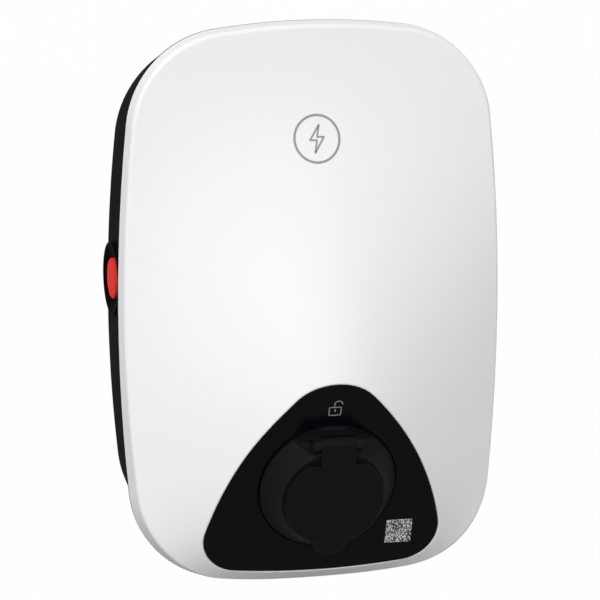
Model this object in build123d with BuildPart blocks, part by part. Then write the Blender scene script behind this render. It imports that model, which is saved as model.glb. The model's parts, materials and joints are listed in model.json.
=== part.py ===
from build123d import *
from math import asin, atan2, cos, pi, radians, sin, sqrt, tan
import os

# Wall charging station for electric cars, in millimetres
# The wall is the plane Y = 0, the front looks along -Y and Z is up.
# The origin is the centre of the wall screw pattern.

# Body
width = 282
height = 409
rear_depth = 71
side_crown = 13.7
end_crown = 15.5
corner_radius = 73.9
wall = 3
cut_over = 20

# Rear housing
seat_inset_x = 7.1
seat_inset_z = 14.5
seat_corner = 76
flange_overhang = 4
flange = 2
tongue = 8
tongue_gap = 0.3
back_plate = 3
seat_edge = 1.5

# Front shell
shell_draft = 9.5
edge_rise = 12
crest_rise = 70.3
crest_height = 118
foot_inset = 5
ramp_inset = 2
ridge_inset = 2
foot_power = 3.3
ramp_power = 1.25
ridge_round_share = 0.27
dome_step = 15
dome_margin = 15
dome_tolerance = 0.02
crease_radius = 3
lip_radius = 1.2

# Gasket between the two housings
gasket_width = 1.5
gasket_height = 1.9
gasket_slack = 0.1

# Black socket panel, tilted to face a little downwards
panel_tilt = 19.3
panel_height = 80.2
panel_rise = 49.2
panel_recess = 0.5
panel_apex = 96.4
panel_foot = 64.9
panel_foot_half = 91.6
panel_side_bulge = 20
panel_foot_bulge = 8
panel_apex_radius = 39.8
panel_corner_radius = 27.7
panel_gap = 0.35
panel_plate = 3
panel_skirt = 2
collar_wall = 2.5
collar_depth = 16
panel_flange = 2.5
panel_boss_radius = 4.5
panel_lobe_radius = 6
panel_side_screw_share = (0.714, 0.352)
panel_foot_screw_share = (1.006, 0.762)
panel_apex_screw_share = 0.93

# Small edges and corners
panel_edge = 0.6
guide_corner = 1.5
lock_corner = 3
bolt_tip = 0.8
switch_corner = 3
component_edge = 1
nut_sides = 6

# Screws, all with a shank that clears its pilot hole
screw_slack = 0.05
small_shank = 1.5
small_head = 2.8
small_head_height = 2
screw_clearance = 0.3
pilot_depth = 6
socket_pilot = 3.6

# Cover fixing: two screws below, two hooks above
cover_screw_x = 60
cover_screw_rise = 5.1
cover_screw_length = 9
cover_boss_width = 9
cover_boss_depth = 8
cover_boss_root = 1.2
cover_seat_depth = 2.5
cover_head_height = 1.4
hook_width = 10
hook_height = 3
hook_reach = 1.8
hook_slack = 0.4
hook_embed = 0.75

# Wall fixing and wall seals
wall_screw_inset_x = 61
wall_screw_inset_z = 64.5
wall_screw_radius = 3.25
wall_boss_radius = 9
wall_boss_height = 3
wall_seal_height = 1.5
screw_land = 14
centre_land = 30
back_rib = 8
pocket_rows = 4
pocket_depth = 1
pocket_corner = 5
wall_seal_slack = 0.3

# Socket, on the axis of the panel's round window
window_radius = 51
socket_radius = 49.8
cone_top_radius = 38
cone_base_rise = 1.5
cone_height = 17
recess_radius = 28.5
recess_chord = 22.5
recess_depth = 26
tube_radius = 32
socket_seal_height = 1.5
socket_seal_width = 2.5
socket_seal_inset = 0.5
socket_flange = 3
socket_flange_radius = 57
socket_screw_x = 51
socket_screw_v = 28
socket_tab_radius = 5.5
socket_boss_radius = 4

# Contact carrier and contacts
core_radius = 22
core_chord = 16.5
core_rise = 4
core_plate = 4
power_hole = 3.3
power_sleeve = 4
power_bore = 3.05
signal_hole = 1.8
signal_sleeve = 2.5
signal_bore = 1.55
sleeve_tip_depth = 4
sleeve_slack = 0.05
sleeve_tail = 8
bore_end_depth = 20
power_spots = [(-14.7, 0), (0, 0), (14.7, 0), (-8, -13), (8, -13)]
signal_spots = [(-7.2, 10.3), (7.2, 10.3)]

# Lid, its hinge and its spring
lid_radius = 36.5
lid_chord = 30
lid_gap = 1.2
lid_thickness = 3.8
lid_edge = 1
tab_radius = 14
tab_reach = 9.7
tab_thickness = 2.8
pivot_v = 43.5
pivot_rise = 13.6
knuckle_radius = 5
knuckle_half = 12.6
knuckle_slack = 0.6
lug_overlap = 1
pin_radius = 1.5
pin_slack = 0.05
pin_fit = 0.02
pin_head = 2.3
pin_head_height = 0.8
ear_gap = 0.4
ear_width = 5
ear_radius = 5
ear_flank = 11
hinge_rim = 1.8
hinge_scoop = 4.2
seal_outer = 34.5
seal_inner = 31.5
seal_chord = 27.5
seal_slack = 0.2
spring_pocket_radius = 3.4
spring_pocket_length = 8
spring_radius = 2.25
spring_wire = 0.4
spring_pitch = 1.4
spring_turns = 4

# Lock: a motor drive that pushes a bolt into the inserted plug
bolt_depth = 19
bolt_radius = 3
bolt_slack = 0.1
bolt_length = 22
bolt_rest_gap = 1
lock_seat = 36
lock_length = 28
lock_half_width = 12
lock_half_height = 9
lock_bore_end = 4

# Push button on the left side
button_y = -35.5
button_z = 18
button_inset = 2
boss_radius = 27.5
boss_seat = 2.2
boss_depth = 12
bezel_radius = 26.5
bezel_rim = 1.6
bezel_edge = 0.4
bezel_dish = 3.2
bezel_tube = 21.9
bezel_slack = 0.3
bezel_length = 17
cap_radius = 14.8
cap_gap = 0.4
cap_recess = 0.4
cap_skirt = 8.3
cap_edge = 1.5
cap_flange_radius = 16.5
cap_flange = 1.5
cap_play = 0.3
guide_radius = 17
stem_radius = 4
stem_length = 3.2
button_spring_radius = 7
button_spring_wire = 0.6
button_spring_turns = 3
button_spring_slack = 0.1
wire_sides = 6
nut_radius = 26
nut_height = 3.5
nut_slack = 0.05
switch_base = 2
switch_base_side = 40
switch_side = 26
switch_height = 12

# Boards on their posts
board = 1.6
post_radius = 4
post_height = 12
board_inset = 6
power_board_size = (150, 150)
power_board_x = 15
power_board_share = 0.125
power_board_drop = 5.5625
control_board_size = (130, 52)
control_board_share = 0.75
control_board_drop = 7.375
board_screw_hole = 1.7

# Parts on the boards
relay_size = (30, 44, 24)
relay_shares = [(-0.27, -0.15), (-0.02, -0.15)]
sensor_outer = 20
sensor_inner = 11
sensor_height = 16
sensor_share = (0.29, -0.2)
supply_size = (60, 46, 26)
supply_share = (-0.23, 0.28)
radio_size = (28, 20, 3)
radio_share = (0.27, 0)

# Terminal block, on its pad
terminal_pitch = 14
terminal_count = 5
terminal_depth = 30
terminal_height = 24
terminal_x = -60
terminal_share = 0.5
terminal_rise = 4.25
terminal_pad = 8
terminal_pad_inset = 4
terminal_entry = 4.2
terminal_well = 3.2
terminal_well_depth = 9
terminal_screw = 2.9
terminal_screw_height = 3

# Status light behind the shell
light_size = (56, 22)
light_drop = 82.5
light_gap = 4
light_post_radius = 3.2
light_post_x = 22

# Lock indicator behind the panel, and the label on it
guide_size = (11.5, 13)
guide_depth = 5
guide_share = 0.68
label_side = 19.5
label_thickness = 0.3
label_share = (0.628, -0.667)

# Cable entries in the floor of the rear housing
entry_y = -35
entry_x = 45
entry_top_rise = 26.5
entry_end_rise = 5.5
entry_collar = 5
gland_radius = 12.5
gland_slack = 0.2
gland_flange = 3
gland_flange_radius = 16
gland_bore = 9.5
gland_nut_height = 4
gland_nut_radius = 16.5
gland_lip = 2
gland_seal_bore = 6.5
gland_seal_length = 14
seal_fit = 0.05
grommet_radius = 8
grommet_flange = 2
grommet_flange_radius = 11
grommet_web = 1.5

# Leads from the power board to the socket
lead_radius = 2
lead_straight = 14
lead_bend = 9
lead_inset = 13
lead_pitch = 14
lead_reach = 24

# Worked out from the sizes above
rim = rear_depth
half_width = width / 2
half_height = height / 2
board_plane = back_plate + post_height
seat_half_width = half_width - seat_inset_x
seat_half_height = half_height - seat_inset_z
ridge_half_width = half_width - ridge_inset
crest_z = crest_height - half_height
foot_z = foot_inset - half_height
ramp_top_z = half_height - ramp_inset
panel_z = panel_height - half_height
light_z = half_height - light_drop
entry_top_z = entry_top_rise - half_height
entry_end_z = entry_end_rise - half_height
button_face_x = button_inset - half_width
wall_screw_x = 2 * (half_width - wall_screw_inset_x)
wall_screw_z = 2 * (half_height - wall_screw_inset_z)
control_board_at = (0, control_board_share * half_height - control_board_drop)
power_board_at = (power_board_x, power_board_share * half_height - power_board_drop)
terminal_at = (terminal_x, terminal_rise - terminal_share * half_height)
lead_end_z = power_board_at[1] - power_board_size[1] / 2 + lead_inset
guide_v = guide_share * panel_apex
label_at = (label_share[0] * panel_foot_half, label_share[1] * panel_foot)
side_screw_x = panel_side_screw_share[0] * panel_foot_half
side_screw_v = panel_side_screw_share[1] * panel_apex
foot_screw_x = panel_foot_screw_share[0] * panel_foot_half
foot_screw_v = -panel_foot_screw_share[1] * panel_foot
panel_screw_spots = [
    (0, panel_apex_screw_share * panel_apex),
    (side_screw_x, side_screw_v),
    (-side_screw_x, side_screw_v),
    (foot_screw_x, foot_screw_v),
    (-foot_screw_x, foot_screw_v),
]


def facing(forward):
    """Plane parallel to the wall, this far in front of it."""
    return Plane.XZ.offset(forward)


def crowned_rectangle(half_x, half_z, crown_x, crown_z, corner):
    """Rectangle with four bowed sides and rounded corners."""
    corner_x = half_x - crown_x
    corner_z = half_z - crown_z
    with BuildSketch() as outline:
        with BuildLine():
            ThreePointArc((-corner_x, corner_z), (0, half_z), (corner_x, corner_z))
            ThreePointArc((corner_x, corner_z), (half_x, 0), (corner_x, -corner_z))
            ThreePointArc((corner_x, -corner_z), (0, -half_z), (-corner_x, -corner_z))
            ThreePointArc((-corner_x, -corner_z), (-half_x, 0), (-corner_x, corner_z))
        make_face()
        fillet(outline.vertices(), corner)
    return outline.sketch


def rim_outline(inset):
    """Outline of the shell's rim, moved inwards by the inset."""
    return crowned_rectangle(
        half_width - inset, half_height - inset, side_crown, end_crown, corner_radius - inset
    )


def seat_outline(inset):
    """Outline of the rear housing at the wall, moved inwards by the inset."""
    return crowned_rectangle(
        seat_half_width - inset, seat_half_height - inset, side_crown, end_crown, seat_corner - inset
    )


def bow(start, end, bulge):
    """Centre and radius of the arc from start to end that bows to the left by the bulge."""
    run = Vector(*end) - Vector(*start)
    radius = (run.length**2 / 4 + bulge**2) / (2 * bulge)
    side = Vector(-run.Y, run.X).normalized()
    return (Vector(*start) + Vector(*end)) / 2 + side * (bulge - radius), radius


def panel_outline(inset):
    """Bowed triangle, apex up, where three discs meet, moved inwards by the inset."""
    apex = (0, panel_apex)
    right = (panel_foot_half, -panel_foot)
    left = (-panel_foot_half, -panel_foot)
    right_centre, right_radius = bow(apex, right, panel_side_bulge)
    left_centre, left_radius = bow(left, apex, panel_side_bulge)
    foot_centre, foot_radius = bow(right, left, panel_foot_bulge)
    with BuildSketch() as outline:
        with Locations(right_centre):
            Circle(right_radius - inset)
        with Locations(left_centre):
            Circle(left_radius - inset, mode=Mode.INTERSECT)
        with Locations(foot_centre):
            Circle(foot_radius - inset, mode=Mode.INTERSECT)
        fillet(outline.vertices().sort_by(Axis.Y)[-1], panel_apex_radius - inset)
        fillet(outline.vertices().sort_by(Axis.X)[0], panel_corner_radius - inset)
        fillet(outline.vertices().sort_by(Axis.X)[-1], panel_corner_radius - inset)
    return outline.sketch


def capped_disc(radius, chord):
    """Disc with a flat at the top, at the height of the chord."""
    with BuildSketch() as disc:
        Circle(radius)
        with Locations((0, chord + radius)):
            Rectangle(2 * radius, 2 * radius, mode=Mode.SUBTRACT)
    return disc.sketch


def dome_height(x, z):
    """Height of the shell's front over the rim: a ridge profile times a rounded roof across it."""
    if z < crest_z:
        ridge = 1 - ((crest_z - z) / (crest_z - foot_z)) ** foot_power
    else:
        run = min((z - crest_z) / (ramp_top_z - crest_z), 1)
        ridge = ((1 + cos(pi * run)) / 2) ** ramp_power
    roof = sqrt((x / ridge_half_width) ** 2 + ridge_round_share**2) - ridge_round_share
    full = sqrt(1 + ridge_round_share**2) - ridge_round_share
    return edge_rise + crest_rise * ridge * (1 - roof / full)


def dome_face(drop):
    """Front surface of the shell, moved inwards by the drop along its normal."""
    columns = round((width + 2 * dome_margin) / dome_step)
    rows = round((height + 2 * dome_margin) / dome_step)
    probe = dome_step / 100
    grid = []
    for i in range(columns + 1):
        x = (width + 2 * dome_margin) * (i / columns - 1 / 2)
        line = []
        for j in range(rows + 1):
            z = (height + 2 * dome_margin) * (j / rows - 1 / 2)
            slope_x = (dome_height(x + probe, z) - dome_height(x - probe, z)) / (2 * probe)
            slope_z = (dome_height(x, z + probe) - dome_height(x, z - probe)) / (2 * probe)
            stretch = sqrt(1 + slope_x**2 + slope_z**2)
            line.append(Vector(x, -(rim + dome_height(x, z) - drop * stretch), z))
        grid.append(line)
    return Face.make_surface_from_array_of_points(grid, tol=dome_tolerance)


tilt = radians(panel_tilt)
panel_normal = Vector(0, -cos(tilt), -sin(tilt))
panel_base = Vector(0, -(rim + panel_rise), panel_z) - panel_normal * panel_recess
panel_face = Plane(origin=panel_base, x_dir=(1, 0, 0), z_dir=panel_normal)
button_face = Plane(
    origin=(button_face_x, button_y, button_z), x_dir=(0, -1, 0), z_dir=(-1, 0, 0)
)

parts = []


def keep(block, name):
    """Label a finished sub-part and put it on the list to be written."""
    block.part.label = name
    parts.append(block.part)


# Rear housing: a tray with a flange and a tongue that the front shell slides over
rim_face = rim_outline(0)
body_face = rim_outline(flange_overhang)
inner_body = rim_outline(flange_overhang + wall)
tongue_inset = wall + tongue * tan(radians(shell_draft)) + tongue_gap
tongue_face = rim_outline(tongue_inset)
seat_face = seat_outline(0)
inner_seat = seat_outline(wall)
wall_screws = GridLocations(wall_screw_x, wall_screw_z, 2, 2).locations
cover_screws_at = GridLocations(2 * cover_screw_x, 0, 2, 1).locations
cover_axes = [Pos(0, -(rim + cover_screw_rise)) * spot for spot in cover_screws_at]
cover_sag = end_crown * (cover_screw_x / (half_width - side_crown)) ** 2
cover_foot = half_height - cover_sag
cover_seat_z = cover_seat_depth - cover_foot
cover_boss_z = tongue_inset + cover_boss_root + cover_boss_depth / 2 - cover_foot


def board_posts(size, place):
    """Post places at the four corners of a board."""
    spread_x = size[0] - 2 * board_inset
    spread_z = size[1] - 2 * board_inset
    spots = GridLocations(spread_x, spread_z, 2, 2).locations
    return [Pos(*place) * spot for spot in spots]


power_posts = board_posts(power_board_size, power_board_at)
control_posts = board_posts(control_board_size, control_board_at)
posts = power_posts + control_posts
terminal_length = terminal_pitch * terminal_count
pocket_width = wall_screw_x / 2 - screw_land - centre_land / 2
pocket_height = (wall_screw_z + back_rib) / pocket_rows - back_rib
button_axis_plane = button_face.offset(-boss_depth)
entry_spots = [(-entry_x, 0), (entry_x, 0)]
entry_plane = Plane(origin=(0, entry_y, entry_end_z), x_dir=(1, 0, 0), z_dir=(0, 0, 1))

with BuildPart() as rear_housing:
    with BuildSketch(facing(rim)):
        add(tongue_face)
    extrude(amount=tongue)
    extrude(
        to_extrude=dome_face(wall + tongue_gap),
        amount=height,
        dir=-Axis.Y.direction,
        mode=Mode.SUBTRACT,
    )
    with BuildSketch(facing(0)):
        add(seat_face)
    with BuildSketch(facing(rim - flange)):
        add(body_face)
    loft()
    fillet(rear_housing.faces().sort_by(Axis.Y)[-1].edges(), seat_edge)
    with BuildSketch(entry_plane):
        with Locations(entry_spots[0]):
            Circle(gland_radius + entry_collar)
        with Locations(entry_spots[1]):
            Circle(grommet_radius + entry_collar)
    extrude(amount=entry_top_z - entry_end_z)
    with BuildSketch(button_axis_plane):
        Circle(boss_radius)
    extrude(amount=boss_depth - boss_seat)
    with BuildSketch(facing(rim - flange)):
        add(rim_face)
    extrude(amount=flange)
    with BuildSketch(facing(back_plate)):
        add(inner_seat)
    with BuildSketch(facing(rim - flange)):
        add(inner_body)
    loft(mode=Mode.SUBTRACT)
    with BuildSketch(facing(rim - flange)):
        add(inner_body)
    extrude(amount=flange + tongue, mode=Mode.SUBTRACT)
    with BuildSketch(entry_plane.offset(entry_top_z - entry_end_z)):
        with Locations(entry_spots[0]):
            Circle(gland_radius + entry_collar)
        with Locations(entry_spots[1]):
            Circle(grommet_radius + entry_collar)
    extrude(amount=-(entry_top_z - entry_end_z))
    with BuildSketch(button_axis_plane):
        Circle(boss_radius)
    extrude(amount=boss_depth - boss_seat)
    with BuildSketch(facing(back_plate)):
        with Locations(*wall_screws):
            Circle(wall_boss_radius)
    extrude(amount=wall_boss_height)
    with BuildSketch(facing(back_plate)):
        with Locations(*posts):
            Circle(post_radius)
    extrude(amount=post_height)
    with BuildSketch(facing(back_plate)):
        with Locations(terminal_at):
            Rectangle(terminal_length, terminal_depth - terminal_pad_inset)
    extrude(amount=terminal_pad)
    with BuildSketch(facing(rim)):
        with Locations(*[Pos(0, cover_boss_z) * spot for spot in cover_screws_at]):
            Rectangle(cover_boss_width, cover_boss_depth)
    extrude(amount=tongue)
    with BuildSketch(facing(0)):
        with Locations(*wall_screws):
            Circle(wall_screw_radius)
    extrude(amount=back_plate + wall_boss_height, mode=Mode.SUBTRACT)
    with BuildSketch(facing(0)):
        with GridLocations(pocket_width + centre_land, pocket_height + back_rib, 2, pocket_rows):
            RectangleRounded(pocket_width, pocket_height, pocket_corner)
    extrude(amount=pocket_depth, mode=Mode.SUBTRACT)
    with BuildSketch(facing(board_plane)):
        with Locations(*posts):
            Circle(small_shank + screw_slack)
    extrude(amount=-pilot_depth, mode=Mode.SUBTRACT)
    with BuildSketch(Plane.XY.offset(-half_height)):
        with Locations(*cover_axes):
            Circle(small_shank + screw_slack)
    extrude(amount=half_height + cover_boss_z + cover_boss_depth, mode=Mode.SUBTRACT)
    with BuildSketch(entry_plane):
        with Locations(entry_spots[0]):
            Circle(gland_radius + gland_slack)
        with Locations(entry_spots[1]):
            Circle(grommet_radius + seal_fit)
    extrude(amount=entry_top_z - entry_end_z, mode=Mode.SUBTRACT)
    with BuildSketch(button_axis_plane):
        Circle(bezel_tube + bezel_slack)
    extrude(amount=boss_depth, mode=Mode.SUBTRACT)
    with BuildSketch(facing(rim + cover_screw_rise - hook_height / 2 - hook_slack)):
        with Locations(*[Pos(0, half_height - wall) * spot for spot in cover_screws_at]):
            Rectangle(hook_width + 2 * hook_slack, 2 * (end_crown - wall))
    extrude(amount=hook_height + 2 * hook_slack, mode=Mode.SUBTRACT)
keep(rear_housing, "rear_housing")

# Gasket in the rebate of the shell's rim
gasket_outer = rim_outline(wall - gasket_width + gasket_slack)
gasket_inner = rim_outline(wall + gasket_slack)
with BuildPart() as housing_gasket:
    with BuildSketch(facing(rim)):
        add(gasket_outer)
        add(gasket_inner, mode=Mode.SUBTRACT)
    extrude(amount=gasket_height)
keep(housing_gasket, "housing_gasket")

# Front shell: a drafted rim under a domed front, hollowed to an even wall.
# A collar and five bosses stay solid around the opening for the panel.
collar_face = panel_outline(-collar_wall)
opening_face = panel_outline(0)
light_plane = rim + dome_height(0, light_z) - wall - light_gap
hook_foot_z = cover_foot - tongue_inset - hook_reach
hook_top_z = cover_foot - wall + hook_embed
shell_rise = edge_rise + crest_rise + cut_over
shell_lean = shell_rise * tan(radians(shell_draft))
shell_top = rim_outline(shell_lean)
cavity_face = rim_outline(wall)
cavity_top = rim_outline(wall + shell_lean)
rebate_outer = rim_outline(wall - gasket_width)
rebate_inner = rim_outline(wall + gasket_width)
with BuildPart() as shell_cavity:
    with BuildSketch(facing(rim)):
        add(cavity_face)
    with BuildSketch(facing(rim + shell_rise)):
        add(cavity_top)
    loft()
    extrude(to_extrude=dome_face(wall), amount=height, dir=-Axis.Y.direction, mode=Mode.SUBTRACT)
    with BuildSketch(panel_face.offset(-collar_depth)):
        add(collar_face)
        with Locations(*panel_screw_spots):
            Circle(panel_boss_radius)
    extrude(amount=height, mode=Mode.SUBTRACT)
    with BuildSketch(facing(light_plane)):
        with GridLocations(2 * light_post_x, 0, 2, 1):
            with Locations((0, light_z)):
                Circle(light_post_radius)
    extrude(amount=height, mode=Mode.SUBTRACT)

with BuildPart() as front_shell:
    with BuildSketch(facing(rim)):
        add(rim_face)
    with BuildSketch(facing(rim + shell_rise)):
        add(shell_top)
    loft()
    extrude(to_extrude=dome_face(0), amount=height, dir=-Axis.Y.direction, mode=Mode.SUBTRACT)
    dome = front_shell.faces().filter_by(GeomType.BSPLINE).sort_by(SortBy.AREA)[-1]
    fillet(dome.edges(), crease_radius)
    with BuildSketch(panel_face.offset(-collar_depth - cut_over)):
        add(opening_face)
    extrude(amount=height, mode=Mode.SUBTRACT)
    dome = front_shell.faces().filter_by(GeomType.BSPLINE).sort_by(SortBy.AREA)[-1]
    fillet(dome.inner_wires()[0].edges(), lip_radius)
    add(shell_cavity.part, mode=Mode.SUBTRACT)
    with BuildSketch(facing(rim)):
        add(rebate_outer)
        add(rebate_inner, mode=Mode.SUBTRACT)
    extrude(amount=gasket_height, mode=Mode.SUBTRACT)
    with BuildSketch(facing(rim + cover_screw_rise - hook_height / 2)):
        with Locations(*[Pos(0, (hook_foot_z + hook_top_z) / 2) * spot for spot in cover_screws_at]):
            Rectangle(hook_width, hook_top_z - hook_foot_z)
    extrude(amount=hook_height)
    with BuildSketch(Plane.XY.offset(cover_seat_z)):
        with Locations(*cover_axes):
            Circle(small_head + screw_clearance)
    extrude(amount=-cut_over, mode=Mode.SUBTRACT)
    with BuildSketch(Plane.XY.offset(cover_seat_z)):
        with Locations(*cover_axes):
            Circle(small_shank + screw_clearance)
    extrude(amount=cover_boss_depth, mode=Mode.SUBTRACT)
    with BuildSketch(panel_face.offset(-collar_depth)):
        with Locations(*panel_screw_spots):
            Circle(small_shank + screw_slack)
    extrude(amount=pilot_depth, mode=Mode.SUBTRACT)
    with BuildSketch(facing(light_plane)):
        with GridLocations(2 * light_post_x, 0, 2, 1):
            with Locations((0, light_z)):
                Circle(small_shank + screw_slack)
    extrude(amount=light_gap, mode=Mode.SUBTRACT)
keep(front_shell, "front_shell")

with BuildPart() as cover_screws:
    with BuildSketch(Plane.XY.offset(cover_seat_z)):
        with Locations(*cover_axes):
            Circle(small_head)
    extrude(amount=-cover_head_height)
    with BuildSketch(Plane.XY.offset(cover_seat_z)):
        with Locations(*cover_axes):
            Circle(small_shank)
    extrude(amount=cover_screw_length)
keep(cover_screws, "cover_screws")

# Socket panel: a plate with a skirt and a flange that seats on the shell's collar
plate_face = panel_outline(panel_gap)
skirt_face = panel_outline(panel_gap + panel_skirt)
socket_screw_spots = GridLocations(2 * socket_screw_x, 2 * socket_screw_v, 2, 2).locations
with BuildPart() as socket_panel:
    with BuildSketch(panel_face):
        add(plate_face)
    extrude(amount=-panel_plate)
    with BuildSketch(panel_face):
        add(plate_face)
        add(skirt_face, mode=Mode.SUBTRACT)
    extrude(amount=-(collar_depth + panel_flange))
    with BuildSketch(panel_face.offset(-collar_depth)):
        add(collar_face)
        with Locations(*panel_screw_spots):
            Circle(panel_lobe_radius)
        add(skirt_face, mode=Mode.SUBTRACT)
    extrude(amount=-panel_flange)
    with BuildSketch(panel_face.offset(-panel_plate)):
        with Locations(*socket_screw_spots):
            Circle(socket_boss_radius)
    extrude(amount=-socket_seal_height)
    with BuildSketch(panel_face):
        Circle(window_radius)
    extrude(amount=-(panel_plate + socket_seal_height), mode=Mode.SUBTRACT)
    front_edges = socket_panel.faces().sort_by(Axis(panel_base, panel_normal))[-1].edges()
    fillet(front_edges, panel_edge)
    with BuildSketch(panel_face.offset(-collar_depth - panel_flange)):
        with Locations(*panel_screw_spots):
            Circle(small_shank + screw_clearance)
    extrude(amount=panel_flange, mode=Mode.SUBTRACT)
    with BuildSketch(panel_face.offset(-panel_plate - socket_seal_height)):
        with Locations(*socket_screw_spots):
            Circle(small_shank + screw_slack)
    extrude(amount=socket_pilot, mode=Mode.SUBTRACT)
keep(socket_panel, "socket_panel")

with BuildPart() as panel_screws:
    with BuildSketch(panel_face.offset(-collar_depth - panel_flange)):
        with Locations(*panel_screw_spots):
            Circle(small_head)
    extrude(amount=-small_head_height)
    with BuildSketch(panel_face.offset(-collar_depth - panel_flange)):
        with Locations(*panel_screw_spots):
            Circle(small_shank)
    extrude(amount=panel_flange + pilot_depth - screw_clearance)
keep(panel_screws, "panel_screws")

with BuildPart() as label_plate:
    with BuildSketch(panel_face):
        with Locations(label_at):
            Rectangle(label_side, label_side)
    extrude(amount=label_thickness)
keep(label_plate, "label_plate")

with BuildPart() as lock_light_guide:
    with BuildSketch(panel_face.offset(-panel_plate)):
        with Locations((0, guide_v)):
            RectangleRounded(*guide_size, guide_corner)
    extrude(amount=-guide_depth)
keep(lock_light_guide, "lock_light_guide")

# Planes of the socket: one holds its axis and a radius, one is seen from the side
axis_plane = Plane(
    origin=panel_base, x_dir=(1, 0, 0), z_dir=Vector(1, 0, 0).cross(panel_normal)
)
side_plane = Plane(origin=panel_base, x_dir=panel_face.y_dir, z_dir=(1, 0, 0))
left_plane = Plane(
    origin=panel_base - panel_normal * bolt_depth, x_dir=panel_face.y_dir, z_dir=(-1, 0, 0)
)
socket_axis = Axis(panel_base, panel_normal)
flange_top = panel_plate + socket_seal_height
flange_back = flange_top + socket_flange
recess_face = capped_disc(recess_radius, recess_chord)
knuckle_room = knuckle_half + ear_gap
ear_end = knuckle_room + ear_width
ear_span = ear_end + ear_flank
ear_top = pivot_rise + ear_radius
pivot = (pivot_v, pivot_rise)

# Two ears for the lid's pin, with flanks that slant down to the foot of the cone
with BuildPart() as hinge_ears:
    with BuildSketch(side_plane.offset(-ear_span)):
        with Locations(pivot):
            Circle(ear_radius)
        with Locations((pivot_v, pivot_rise / 2)):
            Rectangle(2 * ear_radius, pivot_rise)
    extrude(amount=2 * ear_span)
    with BuildSketch(axis_plane.offset(-pivot_v - ear_radius)):
        with BuildLine():
            Polyline(
                (-ear_span, 0),
                (ear_span, 0),
                (ear_span, cone_base_rise),
                (ear_end, ear_top),
                (-ear_end, ear_top),
                (-ear_span, cone_base_rise),
                close=True,
            )
        make_face()
    extrude(amount=2 * ear_radius, mode=Mode.INTERSECT)
    with BuildSketch(panel_face):
        Circle(socket_radius)
    extrude(amount=ear_top, mode=Mode.INTERSECT)

# Socket housing: a cone that carries the lid, with the recess for the plug
with BuildPart() as socket_housing:
    with BuildSketch(axis_plane):
        with BuildLine():
            Polyline(
                (0, -recess_depth),
                (tube_radius, -recess_depth),
                (tube_radius, -flange_back),
                (socket_flange_radius, -flange_back),
                (socket_flange_radius, -flange_top),
                (socket_radius, -flange_top),
                (socket_radius, cone_base_rise),
                (cone_top_radius, cone_height),
                (0, cone_height),
                close=True,
            )
        make_face()
    revolve(axis=socket_axis)
    with BuildSketch(panel_face.offset(-flange_top)):
        with Locations(*socket_screw_spots):
            Circle(socket_tab_radius)
    extrude(amount=-socket_flange)
    with BuildSketch(left_plane.offset(tube_radius - wall)):
        Rectangle(2 * lock_half_height, 2 * (recess_depth - bolt_depth))
    extrude(amount=lock_seat - tube_radius + wall)
    add(hinge_ears.part)
    with BuildSketch(panel_face.offset(-recess_depth)):
        add(recess_face)
    extrude(amount=recess_depth + cone_height, mode=Mode.SUBTRACT)
    with BuildSketch(side_plane.offset(-knuckle_room)):
        with Locations(pivot):
            Circle(knuckle_radius + knuckle_slack)
    extrude(amount=2 * knuckle_room, mode=Mode.SUBTRACT)
    with BuildSketch(panel_face):
        with Locations((0, pivot_v + ear_radius)):
            Rectangle(2 * knuckle_room, 2 * ear_radius)
        Circle(socket_radius - hinge_rim, mode=Mode.INTERSECT)
    extrude(amount=ear_top, mode=Mode.SUBTRACT)
    for side in (1, -1):
        with BuildSketch(side_plane.offset(side * ear_end)):
            with Locations(pivot):
                Circle(hinge_scoop)
        extrude(amount=side * ear_flank, mode=Mode.SUBTRACT)
    with BuildSketch(side_plane.offset(-ear_end)):
        with Locations(pivot):
            Circle(pin_radius + pin_fit)
    extrude(amount=2 * ear_end, mode=Mode.SUBTRACT)
    with BuildSketch(left_plane.offset(recess_radius - wall)):
        Circle(bolt_radius + bolt_slack)
    extrude(amount=lock_seat - recess_radius + wall, mode=Mode.SUBTRACT)
    with BuildSketch(panel_face.offset(-flange_back)):
        with Locations(*socket_screw_spots):
            Circle(small_shank + screw_clearance)
    extrude(amount=socket_flange, mode=Mode.SUBTRACT)
keep(socket_housing, "socket_housing")

with BuildPart() as socket_seal:
    with BuildSketch(panel_face.offset(-panel_plate)):
        Circle(window_radius + socket_seal_width + socket_seal_inset)
        Circle(window_radius + socket_seal_inset, mode=Mode.SUBTRACT)
    extrude(amount=-socket_seal_height)
keep(socket_seal, "socket_seal")

with BuildPart() as socket_screws:
    with BuildSketch(panel_face.offset(-flange_back)):
        with Locations(*socket_screw_spots):
            Circle(small_head)
    extrude(amount=-small_head_height)
    with BuildSketch(panel_face.offset(-flange_back)):
        with Locations(*socket_screw_spots):
            Circle(small_shank)
    extrude(amount=socket_flange + socket_pilot - screw_clearance)
keep(socket_screws, "socket_screws")

# Contact carrier: seven bores in an island that stands in the recess
carrier_back = recess_depth + core_plate
island_face = capped_disc(core_radius, core_chord)
with BuildPart() as socket_core:
    with BuildSketch(panel_face.offset(-recess_depth)):
        Circle(tube_radius)
    extrude(amount=-core_plate)
    with BuildSketch(panel_face.offset(-recess_depth)):
        add(island_face)
    extrude(amount=recess_depth + core_rise)
    with BuildSketch(panel_face.offset(-carrier_back)):
        with Locations(*power_spots):
            Circle(power_sleeve + sleeve_slack)
        with Locations(*signal_spots):
            Circle(signal_sleeve + sleeve_slack)
    extrude(amount=carrier_back + core_rise - sleeve_tip_depth, mode=Mode.SUBTRACT)
    with BuildSketch(panel_face.offset(core_rise)):
        with Locations(*power_spots):
            Circle(power_hole)
        with Locations(*signal_spots):
            Circle(signal_hole)
    extrude(amount=-sleeve_tip_depth, mode=Mode.SUBTRACT)
keep(socket_core, "socket_core")

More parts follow.
